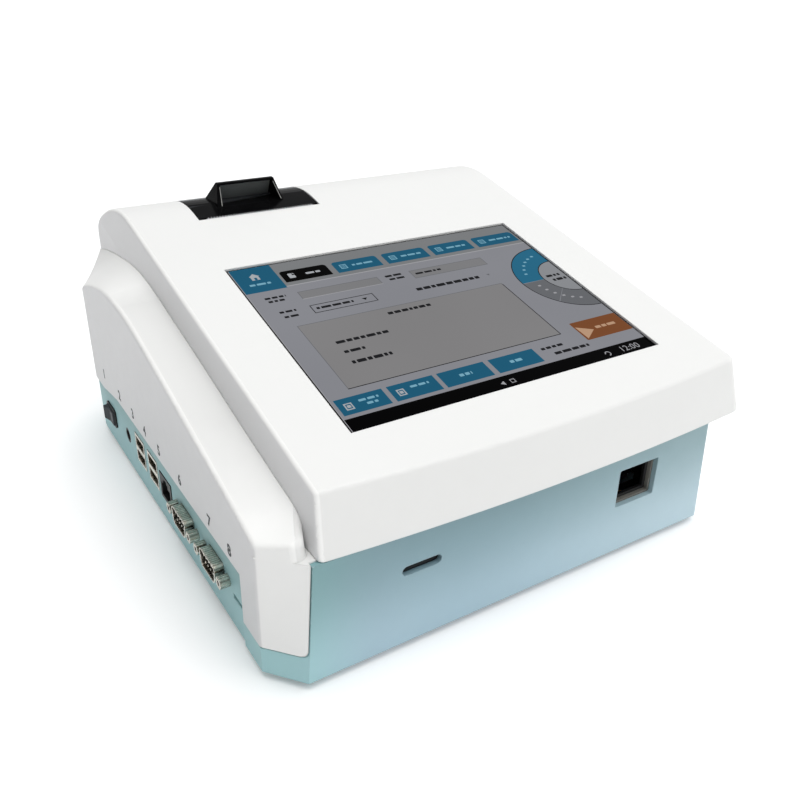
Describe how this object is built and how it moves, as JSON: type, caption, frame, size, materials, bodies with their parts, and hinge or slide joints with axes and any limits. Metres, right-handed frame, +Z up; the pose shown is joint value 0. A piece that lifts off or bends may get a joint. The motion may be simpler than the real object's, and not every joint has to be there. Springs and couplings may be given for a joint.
{
  "type": "fluorescence immunoassay analyzer",
  "caption": "Benchtop immunoassay reader with a sloped touchscreen cover, a receipt printer under a hooded black door, a front cassette port, a card slot and side sockets.",
  "frame": {"origin": "middle of the footprint, on the table surface under the feet", "axes": "+Z up, the front face with the ports looks to -Y, +X is to the right seen from the front"},
  "size_m": [0.244, 0.2618, 0.1353],
  "materials": {
    "blue_shell": "fine texture, satin",
    "white_cover": "smooth satin",
    "screen_glass": "gloss",
    "black_plastic": "fine texture",
    "black_gloss": "gloss",
    "grey_plastic": "satin",
    "feet_rubber": "matte",
    "roller_rubber": "ground",
    "screw_steel": "plated",
    "bright_steel": "ground",
    "sheet_steel": "plated sheet",
    "lcd_metal": "plated sheet",
    "connector_metal": "nickel plated",
    "brass": "machined",
    "aluminium": "machined",
    "black_metal": "black anodised",
    "gear_plastic": "natural",
    "paper": "thermal paper",
    "circuit_board": "solder mask",
    "lens_glass": "polished",
    "filter_glass": "coated",
    "ribbon": "flat"
  },
  "bodies": {
    "chassis": {"base_shell": "blue_shell", "top_cover": "white_cover", "wing_cover": "white_cover", "rubber_feet": "feet_rubber", "case_screws": "screw_steel", "touch_glass": "screen_glass", "lcd_panel": "lcd_metal", "lcd_bracket": "sheet_steel", "bracket_screws": "screw_steel", "printer_bucket": "black_plastic", "printer_motor": "lcd_metal", "print_head": "aluminium", "head_springs": "bright_steel", "tear_bar": "bright_steel", "door_hinge_pin": "bright_steel", "power_switch_body": "black_plastic", "dc_jack": "black_plastic", "usb_port_rear": "connector_metal", "usb_port_front": "connector_metal", "network_jack": "black_plastic", "serial_port_rear": "connector_metal", "serial_port_front": "connector_metal", "serial_jackscrews": "connector_metal", "side_card_reader": "black_plastic", "port_board": "circuit_board", "front_card_reader": "black_plastic", "cassette_bezel": "grey_plastic", "scan_chassis": "black_metal", "guide_rods": "bright_steel", "screw_bearings": "brass", "stepper_motor": "black_metal", "end_sensor": "black_plastic", "optics_housing": "black_metal", "objective_lens": "lens_glass", "beam_splitter": "lens_glass", "excitation_filter": "filter_glass", "excitation_led": "aluminium", "emission_filter": "filter_glass", "detector": "black_plastic", "main_board": "circuit_board", "board_standoffs": "brass", "board_screws": "screw_steel", "beeper": "black_plastic", "ribbon_cable": "ribbon"},
    "printer_door": {"printer_door": "black_gloss", "platen_bushes": "gear_plastic"},
    "platen": {"platen_shaft": "bright_steel", "platen_roller": "roller_rubber", "platen_gear": "gear_plastic"},
    "idler": {"drive_gear": "gear_plastic"},
    "pinion": {"motor_pinion": "brass"},
    "paper": {"paper_roll": "paper"},
    "rocker": {"power_rocker": "black_gloss"},
    "carriage": {"cassette_carriage": "black_plastic", "carriage_nut": "brass"},
    "screw": {"lead_screw": "bright_steel", "shaft_coupling": "aluminium", "stepper_shaft": "bright_steel"}
  },
  "joints": [
    {"name": "door_hinge", "type": "hinge", "parent": "chassis", "child": "printer_door", "pos_m": [-0.0334, 0.1118, 0.11625], "axis": [-1, 0, 0], "range_deg": [0, 75]},
    {"name": "platen_spin", "type": "hinge", "parent": "printer_door", "child": "platen", "pos_m": [-0.0334, 0.0766, 0.1156], "axis": [1, 0, 0], "continuous": true},
    {"name": "idler_spin", "type": "hinge", "parent": "chassis", "child": "idler", "pos_m": [-0.0032, 0.0826, 0.10463], "axis": [1, 0, 0], "continuous": true},
    {"name": "pinion_spin", "type": "hinge", "parent": "chassis", "child": "pinion", "pos_m": [-0.0032, 0.0748, 0.0976], "axis": [1, 0, 0], "continuous": true},
    {"name": "paper_spin", "type": "hinge", "parent": "chassis", "child": "paper", "pos_m": [-0.036, 0.0988, 0.091], "axis": [1, 0, 0], "continuous": true},
    {"name": "rocker_tip", "type": "hinge", "parent": "chassis", "child": "rocker", "pos_m": [-0.1191, 0.084, 0.0198], "axis": [0, 0, -1], "range_deg": [0, 16]},
    {"name": "carriage_slide", "type": "slide", "parent": "chassis", "child": "carriage", "axis": [0, 1, 0], "range_m": [0, 0.07]},
    {"name": "screw_spin", "type": "hinge", "parent": "chassis", "child": "screw", "pos_m": [0.0536, 0, 0.0242], "axis": [0, 1, 0], "continuous": true}
  ],
  "couplings": [
    {"joint": "idler_spin", "follows": "platen_spin", "ratio": -0.66667},
    {"joint": "pinion_spin", "follows": "platen_spin", "ratio": 1.6667},
    {"joint": "screw_spin", "follows": "carriage_slide", "rad_per_m": 628.32}
  ]
}
